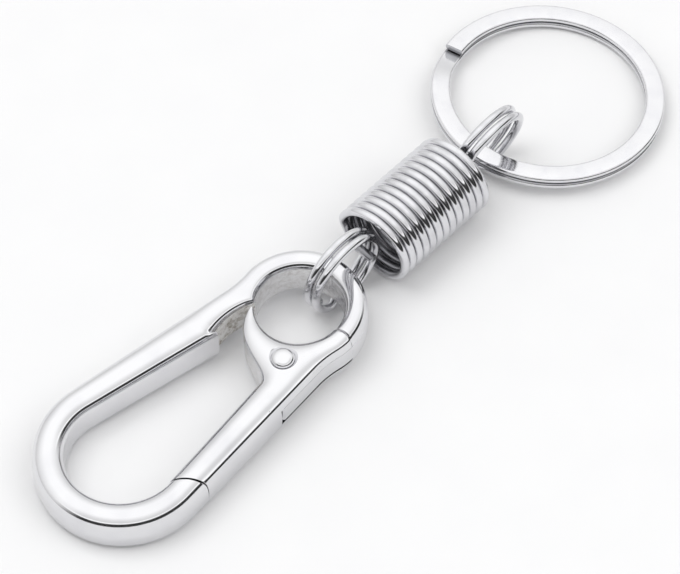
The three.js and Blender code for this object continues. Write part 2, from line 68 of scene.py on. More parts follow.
# Quads over a grid of points, each row of which closes on itself
def gridQuads(rows, columns):
    r, c = np.meshgrid(np.arange(rows - 1), np.arange(columns), indexing="ij")
    cNext = (c + 1) % columns
    corners = [r * columns + c, r * columns + cNext, (r + 1) * columns + cNext, (r + 1) * columns + c]
    return np.stack(corners, -1).reshape(-1, 4)


# Mesh in the row frame from points in millimetres; attributes hold one number or vector per point, and
# weld joins the points that coincide
def makePiece(name, points, faces, attributes=None, weld=False):
    mesh = bpy.data.meshes.new(name)
    mesh.from_pydata((points.reshape(-1, 3) * mm).tolist(), [], faces)
    for key, values in (attributes or {}).items():
        single = values.ndim == 1
        layer = mesh.attributes.new(key, "FLOAT" if single else "FLOAT_VECTOR", "POINT")
        layer.data.foreach_set("value" if single else "vector", values.astype(np.float32).ravel())
    outward = bmesh.new()
    outward.from_mesh(mesh)
    if weld:
        bmesh.ops.remove_doubles(outward, verts=outward.verts, dist=weldReach * mm)
    bmesh.ops.recalc_face_normals(outward, faces=outward.faces)
    outward.to_mesh(mesh)
    outward.free()
    piece = bpy.data.objects.new(name, mesh)
    bpy.context.scene.collection.objects.link(piece)
    return piece


# Cuts, joins or trims a piece by closed shapes, which are then removed
def combine(piece, operation, *shapes):
    for shape in shapes:
        step = piece.modifiers.new("shape", "BOOLEAN")
        step.operation = operation
        step.solver = "MANIFOLD"
        step.object = shape
    graph = bpy.context.evaluated_depsgraph_get()
    mesh = bpy.data.meshes.new_from_object(piece.evaluated_get(graph))
    piece.modifiers.clear()
    piece.data = mesh
    for shape in shapes:
        bpy.data.objects.remove(shape)


# A spring that winds has its place baked into its mesh and rides no body; the rest ride theirs
def dress(piece, material, body, node, sharpAngle=40, winds=None):
    piece.data.materials.clear()
    piece.data.materials.append(material)
    piece.data.shade_smooth()
    piece.data.set_sharp_from_angle(angle=np.radians(sharpAngle))
    if winds:
        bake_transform(piece)
    else:
        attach(piece, body)
    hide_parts(node)
    print("piece made:", piece.name, len(piece.data.polygons), "faces")


# Colours are written as sRGB hex and used as linear light
def linearColour(hexText):
    srgb = np.array([int(hexText[i : i + 2], 16) for i in (1, 3, 5)]) / 255
    linear = np.where(srgb <= 0.04045, srgb / 12.92, ((srgb + 0.055) / 1.055) ** 2.4)
    return (*linear.tolist(), 1.0)


def addNode(tree, kind, inputs=None, **settings):
    node = tree.nodes.new(kind)
    for key, value in settings.items():
        setattr(node, key, value)
    for key, value in (inputs or {}).items():
        if isinstance(value, bpy.types.NodeSocket):
            tree.links.new(value, node.inputs[key])
        else:
            node.inputs[key].default_value = value
    return node


def newMaterial(name):
    material = bpy.data.materials.new(name)
    material.use_nodes = True
    tree = material.node_tree
    tree.nodes.clear()
    shader = addNode(tree, "ShaderNodeBsdfPrincipled", {"Metallic": 1.0})
    addNode(tree, "ShaderNodeOutputMaterial", {"Surface": shader.outputs["BSDF"]})
    return material, tree, shader


# Noise scale that gives features of a real size, in millimetres, on coordinates in metres
def perMillimetre(size):
    return 1 / (size * mm)


rangeInputs = ("From Min", "From Max", "To Min", "To Max")  # a range may give the first two alone

# Bright chrome over a polished zinc casting: mirror-like, with the faint swell that polishing leaves,
# hairlines, and pits where the casting was porous. Where the polishing wheel could not reach, the
# as-cast skin shows: rough, grainy and a little brown. Noises are a size, a detail and a roughness;
# shares go from 0 to 1 between two values of a noise.
chromeFinish = {
    "plate": "#E2E2E4",
    "plateDull": "#DADADD",
    "cast": "#FBFAF8",
    "castDark": "#A2988A",
    "castRoughness": 0.36,
    "castMetallic": 0.45,
    "castReach": 0.05,  # how near a wall that was not polished the skin begins
    "noises": {
        "swell": (5.0, 2.0, 0.5),
        "hairline": (0.16, 3.0, 0.5),
        "patch": (2.2, 3.0, 0.5),
        "grain": (0.7, 5.0, 0.65),
    },
    "shares": {
        "dull": ("swell", 0.45, 0.75),
        "porous": ("patch", 0.66, 0.74),
        "pitCentre": ("pit", 0.22, 0.08),
        "paleSkin": ("grain", 0.34, 0.56),
    },
    "hairlineRange": (0.3, 0.7),
    "roughness": (0.05, 0.13),
    "pitSize": 0.55,
    "pitDepth": 0.02,
    "swellDepth": 0.014,
    "grainDepth": 0.25,
}


def chromeMaterial():
    f = chromeFinish
    material, tree, shader = newMaterial("polished chrome plate")
    place = addNode(tree, "ShaderNodeTexCoord").outputs["Object"]
    cast = addNode(tree, "ShaderNodeAttribute", attribute_name="asCast").outputs["Fac"]
    pits = addNode(tree, "ShaderNodeTexVoronoi", {"Vector": place, "Scale": perMillimetre(f["pitSize"])})
    noise = {"pit": pits.outputs["Distance"]}
    for key, (size, detail, roughness) in f["noises"].items():
        inputs = {"Vector": place, "Scale": perMillimetre(size), "Detail": detail, "Roughness": roughness}
        noise[key] = addNode(tree, "ShaderNodeTexNoise", inputs).outputs["Fac"]
    share = {}
    for key, (source, *limits) in f["shares"].items():
        inputs = {"Value": noise[source], **dict(zip(rangeInputs, limits))}
        share[key] = addNode(tree, "ShaderNodeMapRange", inputs).outputs[0]
    # a pit only where a patch of porous casting and a cell centre meet
    pit = addNode(tree, "ShaderNodeMath", {0: share["porous"], 1: share["pitCentre"]}, operation="MULTIPLY")
    plate = addNode(
        tree, "ShaderNodeMix",
        {"Factor": share["dull"], "A": linearColour(f["plate"]), "B": linearColour(f["plateDull"])},
        data_type="RGBA",
    )
    skin = addNode(
        tree, "ShaderNodeMix",
        {"Factor": share["paleSkin"], "A": linearColour(f["castDark"]), "B": linearColour(f["cast"])},
        data_type="RGBA",
    )
    colour = addNode(
        tree, "ShaderNodeMix",
        {"Factor": cast, "A": plate.outputs[2], "B": skin.outputs[2]},
        data_type="RGBA",
    )
    limits = dict(zip(rangeInputs, (*f["hairlineRange"], *f["roughness"])))
    rough = addNode(tree, "ShaderNodeMapRange", {"Value": noise["hairline"], **limits})
    roughCast = addNode(
        tree, "ShaderNodeMix", {"Factor": cast, "A": rough.outputs[0], "B": f["castRoughness"]}
    )
    metallic = addNode(tree, "ShaderNodeMix", {"Factor": cast, "A": 1.0, "B": f["castMetallic"]})
    swellBump = addNode(
        tree, "ShaderNodeBump",
        {"Height": noise["swell"], "Strength": 1.0, "Distance": f["swellDepth"] * mm},
    )
    pitBump = addNode(
        tree, "ShaderNodeBump",
        {
            "Height": pit.outputs[0],
            "Strength": 1.0,
            "Distance": f["pitDepth"] * mm,
            "Normal": swellBump.outputs[0],
        },
        invert=True,
    )
    grainBump = addNode(
        tree, "ShaderNodeBump",
        {
            "Height": noise["grain"],
            "Strength": cast,
            "Distance": f["grainDepth"] * mm,
            "Normal": pitBump.outputs[0],
        },
    )
    tree.links.new(colour.outputs[2], shader.inputs["Base Color"])
    tree.links.new(roughCast.outputs[0], shader.inputs["Roughness"])
    tree.links.new(metallic.outputs[0], shader.inputs["Metallic"])
    tree.links.new(grainBump.outputs[0], shader.inputs["Normal"])
    return material


# Plated or tempered wire: bright, with fine draw lines along the wire, duller patches and grey sheared
# ends; the inside of a close coil and the crevice of a ring get a painted shade, darker and rougher.
# Each colour pair is the bright metal and its worn patches.
wireColours = {
    "nickel-plated drawn wire": ("#DCDCDF", "#CFCFD2"),
    "nickel-plated flat spring band": ("#E2E2E4", "#DDDDE0"),
    "oil-tempered spring wire": ("#B4B6BA", "#8F9196"),
}
wireFinish = {
    "wearScale": 0.55,  # patches of about 1.8 mm
    "detail": 3.0,
    "wornRange": (0.45, 0.7),
    "lineRange": (0.3, 0.7),
    "roughness": (0.06, 0.16),
    "lineWidth": 0.12,
    "lineStretch": 0.04,
    "lineDepth": 0.004,
    # painted shade: a darker, rougher colour for the inside of a close coil and the crevice between ring
    # layers
    "paintedShade": "#8C8C90",
    "paintedShadeRoughness": 0.24,
    "cutEnd": "#C6C7CA",
    "cutEndRoughness": 0.3,
}


def wireMaterial(name, bright, worn):
    f = wireFinish
    material, tree, shader = newMaterial(name)
    grain = addNode(tree, "ShaderNodeAttribute", attribute_name="wireGrain").outputs["Vector"]
    stretch = addNode(tree, "ShaderNodeMapping", {"Vector": grain, "Scale": (f["lineStretch"], 1.0, 1.0)})
    lines = addNode(
        tree, "ShaderNodeTexNoise",
        {"Vector": stretch.outputs[0], "Scale": 1 / f["lineWidth"], "Detail": f["detail"]},
    )
    wear = addNode(
        tree, "ShaderNodeTexNoise", {"Vector": grain, "Scale": f["wearScale"], "Detail": f["detail"]}
    )
    limits = dict(zip(rangeInputs, f["wornRange"]))
    patch = addNode(tree, "ShaderNodeMapRange", {"Value": wear.outputs["Fac"], **limits})
    colour = addNode(
        tree, "ShaderNodeMix",
        {"Factor": patch.outputs[0], "A": linearColour(bright), "B": linearColour(worn)},
        data_type="RGBA",
    ).outputs[2]
    limits = dict(zip(rangeInputs, (*f["lineRange"], *f["roughness"])))
    rough = addNode(tree, "ShaderNodeMapRange", {"Value": lines.outputs["Fac"], **limits}).outputs[0]
    # painted shade in the coil's inside and the ring's crevice first, then the cut ends, each with its own
    # colour and roughness
    for mark in ("paintedShade", "cutEnd"):
        share = addNode(tree, "ShaderNodeAttribute", attribute_name=mark).outputs["Fac"]
        colour = addNode(
            tree, "ShaderNodeMix",
            {"Factor": share, "A": colour, "B": linearColour(f[mark])},
            data_type="RGBA",
        ).outputs[2]
        rough = addNode(
            tree, "ShaderNodeMix", {"Factor": share, "A": rough, "B": f[mark + "Roughness"]}
        ).outputs[0]
    bump = addNode(
        tree, "ShaderNodeBump",
        {"Height": lines.outputs["Fac"], "Strength": 1.0, "Distance": f["lineDepth"] * mm},
    )
    tree.links.new(colour, shader.inputs["Base Color"])
    tree.links.new(rough, shader.inputs["Roughness"])
    tree.links.new(bump.outputs[0], shader.inputs["Normal"])
    return material


chrome = chromeMaterial()
nickelWire, nickelBand, springSteel = (wireMaterial(name, *pair) for name, pair in wireColours.items())
print("materials made")

# Snap hook, in its own plane: the loop's centre at the origin, the eye's on +x, sizes in millimetres
hookSizes = {
    "loopOuterR": 10.9,
    "loopBand": 3.8,
    "eyeOuterR": 8.35,
    "eyeWall": 2.85,
    "eyeSpacing": 28.8,
    "outerTaper": np.radians(6.7),
    "armTaper": np.radians(9.3),
    "gateTaper": np.radians(8),
    "waistR": 12,
    "wallAtLoop": 4.1,
    "wallAtEye": 4.9,
    "wallDrop": 0.35,
    "crownSlope": 1.15,
    "underSlope": 0.43,
    "edgeRound": 0.55,
    "belly": 0.12,
    "eyeCast": 0.3,
    "yaw": np.radians(-3),
}
hs = hookSizes
gateSizes = {
    "pivotToEye": 7.5,
    "pivotInset": 3.85,
    "hookEnd": np.radians(-84),
    "tipSeamRun": 2.6,
    "seamGap": 0.09,
    "seamRound": 0.25,
    "edgeRound": 0.25,
    "neckToPivot": 4.1,
    "neckEase": 2.6,
    "neckCast": 0.35,
    "neckCastFrom": 0.15,
    "neckCastRun": (0.5, 2.5),
    "hornTip": np.radians(138),
    "hornRoot": np.radians(-118),
    "hornTipWidth": 0.6,
    "hornEase": 6,
    "hornSlope": np.radians(20),
    "hornClearance": 0.6,
    "reliefEnd": np.radians(107),
}
gs = gateSizes
neckSteps = 40


def polar(centre, r, angle):
    return np.asarray(centre) + r * np.stack([np.cos(angle), np.sin(angle)], -1)


def arc(centre, r, start, end, count):
    return polar(centre, r, np.linspace(start, end, count + 1))


def circle(centre, r, sides):
    return arc(centre, r, 0, fullTurn, sides)[:-1]


def line(start, end, count):
    return start + (end - start) * np.linspace(0, 1, count + 1)[:, None]


def joined(*runs):
    return np.concatenate([runs[0], *[run[1:] for run in runs[1:]]])


def angleAbout(centre, p):
    return np.arctan2(p[1] - centre[1], p[0] - centre[0])


def flipped(p):
    return np.asarray(p) * (1, -1)


loopAt = np.zeros(2)
eyeAt = np.array([hs["eyeSpacing"], 0.0])
loopInnerR = hs["loopOuterR"] - hs["loopBand"]
eyeInnerR = hs["eyeOuterR"] - hs["eyeWall"]
eyeMidR = hs["eyeOuterR"] - hs["eyeWall"] / 2


# One side of the outline, pulled in by inset: loop circle, straight taper, hollow waist and eye circle,
# all tangent, so the waist's centre is its radius off the taper and both radii off the eye's centre
def outerEdge(inset=0.0):
    taper = hs["outerTaper"]
    loopR, eyeR, blendR = hs["loopOuterR"] - inset, hs["eyeOuterR"] - inset, hs["waistR"] + inset
    normal = np.array([np.sin(taper), np.cos(taper)])
    run = np.array([np.cos(taper), -np.sin(taper)])
    rise = loopR + blendR - eyeAt @ normal
    length = eyeAt @ run - np.sqrt((eyeR + blendR) ** 2 - rise**2)
    start = normal * loopR
    waistStart = start + run * length
    blendAt = waistStart + normal * blendR
    eyeAngle = angleAbout(eyeAt, blendAt)
    return {
        "loopR": loopR,
        "eyeR": eyeR,
        "blendR": blendR,
        "run": run,
        "start": start,
        "waistStart": waistStart,
        "blendAt": blendAt,
        "eyeAngle": eyeAngle,
        "waistAngles": (eyeAngle - np.pi, -np.pi / 2 - taper),
    }


outer = outerEdge()
outerRun = flipped(outer["run"])
outerStart = flipped(outer["start"])
inwardRun = np.array([-outerRun[1], outerRun[0]])
# the pivot lies back along the gate's outer side from abreast of the eye, then inward
pivotRun = (eyeAt - outerStart) @ outerRun - gs["pivotToEye"]
pivot = outerStart + outerRun * pivotRun + inwardRun * gs["pivotInset"]
armStart = polar(loopAt, loopInnerR, np.pi / 2 - hs["armTaper"])
armRun = np.array([np.cos(hs["armTaper"]), -np.sin(hs["armTaper"])])
gateStart = polar(loopAt, loopInnerR, hs["gateTaper"] - np.pi / 2)
gateRun = np.array([np.cos(hs["gateTaper"]), np.sin(hs["gateTaper"])])

# Horn at the end of the gate, and the relief in the plain arm that it swings past: a circle about the pivot.
# It meets the eye's inside at the cusp, by the law of cosines along the line of centres and by Pythagoras
# square to it, and it ends in a step along its radius, to where that crosses the arm's inner line
hornTip = polar(eyeAt, eyeInnerR + gs["hornTipWidth"], gs["hornTip"])
reliefR = np.linalg.norm(hornTip - pivot) + gs["hornClearance"]
apart = eyeAt - pivot
reach = (apart @ apart + reliefR**2 - eyeInnerR**2) / (2 * np.linalg.norm(apart))
towards = unit(apart)
cusp = pivot + towards * reach + np.array([-towards[1], towards[0]]) * np.sqrt(reliefR**2 - reach**2)
reliefStart = angleAbout(pivot, cusp)
reliefStop = polar(pivot, reliefR, gs["reliefEnd"])
stepRay = np.array([np.cos(gs["reliefEnd"]), np.sin(gs["reliefEnd"])])
offset = reliefStop - armStart
crossed = armRun[0] * stepRay[1] - armRun[1] * stepRay[0]
stepRun = (offset[0] * stepRay[1] - offset[1] * stepRay[0]) / crossed
stepFoot = armStart + armRun * stepRun

# The gate's edge towards the loop: straight, then one cubic curve up to the horn
armLength = (pivot - gateStart) @ gateRun - gs["neckToPivot"]
neck = gateStart + gateRun * armLength
hornHandle = gs["hornEase"] * np.array([np.cos(gs["hornSlope"]), np.sin(gs["hornSlope"])])
neckHandles = np.array([neck, neck + gateRun * gs["neckEase"], hornTip - hornHandle, hornTip])


def neckPoints(start, end, count):
    t = np.linspace(start, end, count + 1)[:, None]
    weights = np.concatenate([(1 - t) ** 3, 3 * t * (1 - t) ** 2, 3 * t**2 * (1 - t), t**3], 1)
    return weights @ neckHandles


# Distances in the hook's plane to a straight stretch, to a run of such stretches, and to an arc, which is
# the difference in radius beside the arc and the nearer end past it
def segmentDistance(p, a, b):
    along = np.clip(((p - a) @ (b - a)) / ((b - a) @ (b - a)), 0, 1)
    return np.linalg.norm(p - a - along[..., None] * (b - a), axis=-1)


def runDistance(p, points):
    return np.min([segmentDistance(p, a, b) for a, b in zip(points[:-1], points[1:])], axis=0)


def arcDistance(p, centre, r, start, end):
    q = p - centre
    turn = np.arctan2(q[..., 1], q[..., 0]) - (start + end) / 2
    turn = (turn + np.pi) % fullTurn - np.pi
    toEnds = [np.linalg.norm(p - polar(centre, r, angle), axis=-1) for angle in (start, end)]
    onArc = np.abs(np.linalg.norm(q, axis=-1) - r)
    return np.where(np.abs(turn) <= abs(end - start) / 2, onArc, np.minimum(*toEnds))


tipOuter = outerStart + outerRun * gs["tipSeamRun"]
tipSlip = gs["seamGap"] * np.sqrt(2)  # along the arm, because the tip seam is slanted
seamAngle = gs["hookEnd"] - gs["seamGap"] / eyeMidR
loopInnerEnd = fullTurn - np.pi / 2 + hs["gateTaper"]


# Distances to the free edges: the outline, folded onto one side, the loop's inside and the eye's inside
def edgeDistances(p):
    folded = np.stack([p[..., 0], np.abs(p[..., 1])], -1)
    outline = np.min([
        arcDistance(folded, loopAt, hs["loopOuterR"], np.pi / 2 - hs["outerTaper"], np.pi),
        segmentDistance(folded, outer["start"], outer["waistStart"]),
        arcDistance(folded, outer["blendAt"], hs["waistR"], *outer["waistAngles"]),
        arcDistance(folded, eyeAt, hs["eyeOuterR"], 0, outer["eyeAngle"]),
    ], axis=0)
    loopInside = np.min([
        arcDistance(p, pivot, reliefR, reliefStart, gs["reliefEnd"]),
        segmentDistance(p, reliefStop, stepFoot),
        segmentDistance(p, stepFoot, armStart),
        arcDistance(p, loopAt, loopInnerR, np.pi / 2 - hs["armTaper"], loopInnerEnd),
        segmentDistance(p, gateStart, neck),
        runDistance(p, neckPoints(0, 1, neckSteps)),
    ], axis=0)
    eyeInside = np.abs(np.linalg.norm(p - eyeAt, axis=-1) - eyeInnerR)
    return np.stack([outline, loopInside, eyeInside])


# Drop of a quarter-round edge at a distance from it: the radius less the circle's height there
def roundedDrop(distance, radius):
    return radius * (1 - np.sqrt(1 - (1 - np.clip(distance / radius, 0, 1)) ** 2))


# Heights of the hook's top and bottom: a wall that grows towards the eye and lies below the middle,
# rounded edges, and a crown, high on top and low beneath, that goes by the harmonic sum of the distances
# to the edges, which is a parabola where the band has two of them
def topAndBottom(p, edgeRound):
    length = hs["loopOuterR"] + hs["eyeSpacing"] + hs["eyeOuterR"]
    share = np.clip((p[..., 0] + hs["loopOuterR"]) / length, 0, 1)
    half = (hs["wallAtLoop"] + (hs["wallAtEye"] - hs["wallAtLoop"]) * share) / 2
    edges = edgeDistances(p)
    edges[0] -= hs["belly"]
    edges = np.maximum(edges, leastDistance)
    crown = 1 / (1 / edges).sum(0)
    seamIn, seamOut = (polar(eyeAt, r, gs["hookEnd"]) for r in (eyeInnerR, hs["eyeOuterR"]))
    seams = np.minimum(segmentDistance(p, gateStart, tipOuter), segmentDistance(p, seamIn, seamOut))
    drop = roundedDrop(edges.min(0), edgeRound) + roundedDrop(seams, gs["seamRound"])
    top = half - hs["wallDrop"] + hs["crownSlope"] * crown - drop
    bottom = drop - half - hs["wallDrop"] - hs["underSlope"] * crown
    return top, bottom


# Places across the band, from one edge to the other, closest together at the rounded edges, and down a wall
edgeShare, edgeSteps, middleSteps, wallSteps = 0.1, 8, 24, 8
quarter = edgeShare * (1 - np.cos(np.linspace(0, np.pi / 2, edgeSteps + 1)))
between = np.linspace(edgeShare, 1 - edgeShare, middleSteps + 1)[1:-1]
bandShares = np.concatenate([quarter, between, 1 - quarter[::-1]])
wallShares = np.linspace(1, -1, wallSteps + 1)[1:-1]


# Crowned band between two matched edges: across the top, down one wall, back across the bottom and up;
# the second wall swells by the belly, a parabola down the wall, out to its edge
def crownedBand(edgeA, edgeB, edgeRound, belly=0.0):
    outward = unit(edgeB - edgeA) * belly
    across = edgeA[:, None] + (edgeB - outward - edgeA)[:, None] * bandShares[None, :, None]
    high, low = topAndBottom(across, edgeRound)
    top = np.concatenate([across, high[..., None]], -1)
    bottom = np.concatenate([across, low[..., None]], -1)[:, ::-1]
    walls = []
    for edge, at, swell, shares in ((edgeB, -1, outward, wallShares), (edgeA, 0, 0 * outward, -wallShares)):
        middle, half = (high[:, at] + low[:, at]) / 2, (high[:, at] - low[:, at]) / 2
        places = edge[:, None] - swell[:, None] * shares[None, :, None] ** 2
        walls.append(np.concatenate([places, (middle[:, None] + half[:, None] * shares)[..., None]], -1))
    return np.concatenate([top, walls[0], bottom, walls[1]], 1)


# Quads along a closed band, and one face at each of its ends
def bandFaces(grid):
    rows, columns = grid.shape[:2]
    ends = np.arange(columns) + np.array([[0], [(rows - 1) * columns]])
    return gridQuads(rows, columns).tolist() + ends.tolist()


# From the hook's own plane to the row frame, by the eye's place and the hook's upward direction
eyeJoint = joints["lower_link_swing"]
hookUp = unit(np.array(eyeJoint["axis"]))
hookAhead = np.array([np.cos(hs["yaw"]), np.sin(hs["yaw"]), 0])
hookAhead = unit(hookAhead - (hookAhead @ hookUp) * hookUp)
hookAxes = np.stack([hookAhead, np.cross(hookUp, hookAhead), hookUp])
hookOrigin = np.array(eyeJoint["pos_m"]) / mm - eyeAt[0] * hookAhead


def onHook(points):
    return points @ hookAxes + hookOrigin


# Closed solid from one outline to another of equal count, between two heights on the hook
def prism(name, lowOutline, highOutline, low, high):
    outlines = np.stack([lowOutline, highOutline])
    levels = np.array([low, high])[:, None, None] * np.ones((*outlines.shape[:2], 1))
    grid = np.concatenate([outlines, levels], -1)
    return makePiece(name, onHook(grid), bandFaces(grid))


def plate(name, outline, low, high):
    return prism(name, outline, outline, low, high)


def disc(name, centre, r, low, high, sides=96):
    return plate(name, circle(centre, r, sides), low, high)


def dish(name, centre, rLow, rHigh, low, high, sides=96):
    return prism(name, circle(centre, rLow, sides), circle(centre, rHigh, sides), low, high)


hingeSizes = {
    "tongueThickness": 2.4,
    "tongueInset": 0.02,
    "slotClearance": 0.4,
    "upperClearance": 0.02,
    "bossR": 1.9,
    "bossEdge": np.radians(14),
    "opening": np.radians(30),
    "stop": np.radians(6),
    "tailR": 5.9,
    "tailTop": -0.6,
    "tailSpread": np.radians(53),
    "holeR": 1.0,
    "shankR": 0.9,
    "headR": 1.42,
    "headRim": 0.04,
    "headBevel": 0.05,
    "headFullness": 0.8,  # 1 is an ellipse, less is fuller
    "dishRim": 0.42,
    "dishDepth": 0.42,
    "headSeatDepth": 0.95,
    "headSeatGap": 0.1,
    "headRise": 0.35,
}
hg = hingeSizes


# From a plan about the pivot, turned with the gate's outer side, to the hook's plane
def besidePivot(points):
    turn = hs["outerTaper"]
    turned = np.array([[np.cos(turn), np.sin(turn)], [-np.sin(turn), np.cos(turn)]])
    return np.asarray(points) @ turned + pivot


# Tongue about the pivot, or with a clearance the slot that holds it: tail arc, boss, link to the hook's end
def tonguePlan(clearance, edgeAngle, tailSteps=40, bossSteps=56):
    boss, tail, top = hg["bossR"] + clearance, hg["tailR"] + clearance, hg["tailTop"] + clearance
    outside, tailLow = -2 * hg["tailR"], hg["tailSpread"] - np.pi
    toEye = hs["eyeSpacing"] - pivot[0]
    pastEye = toEye + hs["eyeWall"]
    return besidePivot(np.concatenate([
        arc(loopAt, tail, tailLow, -np.pi - np.arcsin(top / tail), tailSteps),
        arc(loopAt, boss, np.pi - np.arcsin(top / boss), edgeAngle, bossSteps),
        [polar(loopAt, toEye - hs["eyeWall"], edgeAngle)],
        [[toEye, 0], [pastEye, 0], [pastEye, outside], [tail * np.cos(tailLow), outside]],
    ]))


# The hook's whole outline, pulled in by inset; its straight tapers join the arcs
def hookOutline(inset, roundSteps=90, waistSteps=30):
    edge = outerEdge(inset)
    half = joined(
        arc(eyeAt, edge["eyeR"], 0, edge["eyeAngle"], roundSteps),
        arc(edge["blendAt"], edge["blendR"], *edge["waistAngles"], waistSteps),
        arc(loopAt, edge["loopR"], np.pi / 2 - hs["outerTaper"], np.pi, roundSteps),
    )
    return np.concatenate([half, flipped(half[1:-1][::-1])])


springSizes = {
    "wire": 0.3,
    "coilR": 1.45,
    "pitch": 0.36,
    "turns": 2,
    "frameLeg": 4.2,
    "gateLeg": 2.6,
    "exit": np.radians(150),
    "seatFloor": -0.75,
    "clearance": 0.28,
    "endRound": 0.05,
    "sides": 16,
}
ss = springSizes
# heights on the hook: the spring above its seat, the rivet's seats, and the tongue in its slot
springBase = ss["seatFloor"] + ss["clearance"] + ss["wire"] / 2
springSweep = fullTurn - np.pi / 2 - ss["exit"] + ss["turns"] * fullTurn
springTop = springBase + ss["pitch"] * springSweep / fullTurn
exitRun = np.array([np.sin(ss["exit"]), -np.cos(ss["exit"])])
past = hs["wallAtEye"]
pivotTop, pivotLow = (float(height) for height in topAndBottom(pivot, gs["edgeRound"]))
upperSeat, lowerSeat = pivotTop - hg["headSeatDepth"], pivotLow + hg["headSeatDepth"]
tongueLow, tongueHigh = (hg["tongueThickness"] * side / 2 - hs["wallDrop"] for side in (-1, 1))
slotLow, slotHigh = tongueLow - hg["slotClearance"], tongueHigh + hg["upperClearance"]


# Frame: one band from the hook's end at the eye, round by the plain arm and the loop, to the tip seam;
# its two edges have as many steps in each stretch, and the tongue is joined on afterwards
def buildHookFrame():
    steps = {"eye": 120, "waist": 24, "relief": 20, "corner": 4, "arm": 30, "loop": 130, "tip": 12}
    tipLead = np.radians(6)
    reliefShare = 0.4
    abreast = outer["start"] + outer["run"] * stepRun
    justPast = abreast - outer["run"] * gs["hornClearance"]
    halfway = (abreast + justPast) / 2
    justInside = stepFoot - armRun * gs["hornClearance"] / 2
    reliefMiddle = reliefStart + reliefShare * (gs["reliefEnd"] - reliefStart)
    loopAngles = np.pi / 2 - hs["outerTaper"], fullTurn - np.pi / 2 + hs["outerTaper"]
    outerSide = joined(
        arc(eyeAt, hs["eyeOuterR"], gs["hookEnd"], outer["eyeAngle"], steps["eye"]),
        arc(outer["blendAt"], hs["waistR"], *outer["waistAngles"], steps["waist"]),
        line(outer["waistStart"], abreast, steps["relief"]),
        line(abreast, halfway, steps["corner"]),
        line(halfway, justPast, steps["corner"]),
        line(justPast, outer["start"], steps["arm"]),
        arc(loopAt, hs["loopOuterR"], *loopAngles, steps["loop"]),
        line(outerStart, tipOuter, steps["tip"]),
    )
    innerSide = joined(
        arc(eyeAt, eyeInnerR, gs["hookEnd"], angleAbout(eyeAt, cusp), steps["eye"]),
        arc(pivot, reliefR, reliefStart, reliefMiddle, steps["waist"]),
        arc(pivot, reliefR, reliefMiddle, gs["reliefEnd"], steps["relief"]),
        line(reliefStop, stepFoot, steps["corner"]),
        line(stepFoot, justInside, steps["corner"]),
        line(justInside, armStart, steps["arm"]),
        arc(loopAt, loopInnerR, np.pi / 2 - hs["armTaper"], loopInnerEnd - tipLead, steps["loop"]),
        arc(loopAt, loopInnerR, loopInnerEnd - tipLead, loopInnerEnd, steps["tip"]),
    )
    grid = crownedBand(innerSide, outerSide, hs["edgeRound"], hs["belly"])
    # the polishing wheel missed the relief's wall and, in part, the eye's inside
    toRelief = arcDistance(grid[..., :2], pivot, reliefR, reliefStart, gs["reliefEnd"])
    toEye = np.abs(np.linalg.norm(grid[..., :2] - eyeAt, axis=-1) - eyeInnerR)
    onRelief, inEye = (1 - ease(distance, 0.0, chromeFinish["castReach"]) for distance in (toRelief, toEye))
    cast = np.maximum(onRelief, hs["eyeCast"] * inEye)
    frameBand = makePiece("hookFrame", onHook(grid), bandFaces(grid), {"asCast": cast.ravel()})
    tongue = plate("tongue", tonguePlan(0, hg["bossEdge"]), tongueLow, tongueHigh)
    combine(tongue, "INTERSECT", plate("outline", hookOutline(hg["tongueInset"]), -past, past))
    side = ss["coilR"] + 2 * ss["clearance"]
    inside = -ss["coilR"] + 2 * ss["clearance"]
    near, far = -ss["coilR"], ss["frameLeg"] + ss["clearance"]
    groove = besidePivot([[near, -side], [far, -side], [far, inside], [near, inside]])
    combine(
        tongue, "DIFFERENCE",
        disc("eyeTrim", eyeAt, eyeInnerR + hg["tongueInset"], -past, past, sides=240),
        disc("springSeat", pivot, side + ss["wire"], ss["seatFloor"], past),
        plate("springGroove", groove, ss["seatFloor"], past),
        disc("rivetHole", pivot, hg["holeR"], -past, past),
    )
    combine(frameBand, "UNION", tongue)
    return frameBand


